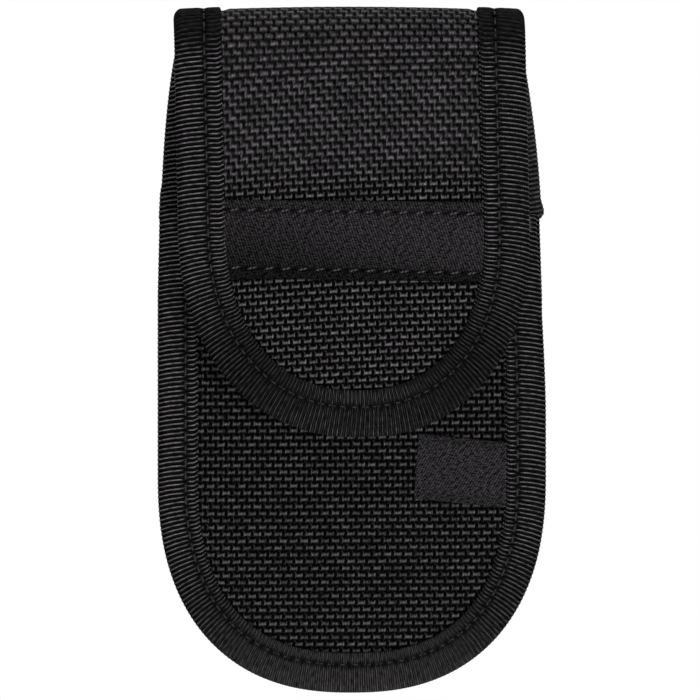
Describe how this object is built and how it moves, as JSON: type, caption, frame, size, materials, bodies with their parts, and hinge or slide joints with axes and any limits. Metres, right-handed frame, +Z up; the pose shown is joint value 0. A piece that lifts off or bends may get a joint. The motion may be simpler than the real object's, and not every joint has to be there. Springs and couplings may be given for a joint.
{
  "type": "tool belt sheath",
  "caption": "Upright woven-cloth belt sheath for a folding multi tool, with tape-bound edges, a boxed pocket, a round-ended flap on hook-and-loop and a webbing belt loop.",
  "frame": {"origin": "middle of the belt tunnel, between the back panel and the webbing loop", "axes": "+X along the belt, +Y towards the wearer (front of the sheath faces -Y), +Z up as worn"},
  "size_m": [0.07, 0.0392, 0.1242],
  "materials": {
    "cloth": "coarse plain-woven nylon, semi-matte",
    "lining": "fine plain-woven nylon, matte",
    "stiffener": "flexible sheet",
    "tape": "ribbed grosgrain tape, semi-matte",
    "elastic": "ribbed elastic, matte",
    "webbing": "flat nylon webbing, semi-matte",
    "hook": "dense small hooks",
    "loop": "soft brushed loops",
    "label": "fine satin weave, bare"
  },
  "bodies": {
    "sheath": {"back_panel": "cloth", "back_stiffener": "stiffener", "back_lining": "lining", "back_binding": "tape", "shoulder_binding": "tape", "belt_loop": "webbing", "front_panel": "cloth", "front_stiffener": "stiffener", "front_lining": "lining", "front_binding": "tape", "mouth_binding": "tape", "gusset": "elastic", "loop_patch": "loop", "side_label": "label"},
    "top": {"top_panel": "cloth", "top_lining": "lining", "top_binding": "tape"},
    "flap": {"flap_panel": "cloth", "flap_stiffener": "stiffener", "flap_lining": "lining", "flap_binding": "tape", "hook_patch": "hook", "name_label": "label"}
  },
  "joints": [
    {"name": "rear_fold", "type": "hinge", "parent": "sheath", "child": "top", "pos_m": [0, -0.00451, 0.05214], "axis": [-1, 0, 0], "range_deg": [0, 110]},
    {"name": "front_fold", "type": "hinge", "parent": "top", "child": "flap", "pos_m": [0, -0.03198, 0.05214], "axis": [-1, 0, 0], "range_deg": [0, 110]}
  ]
}
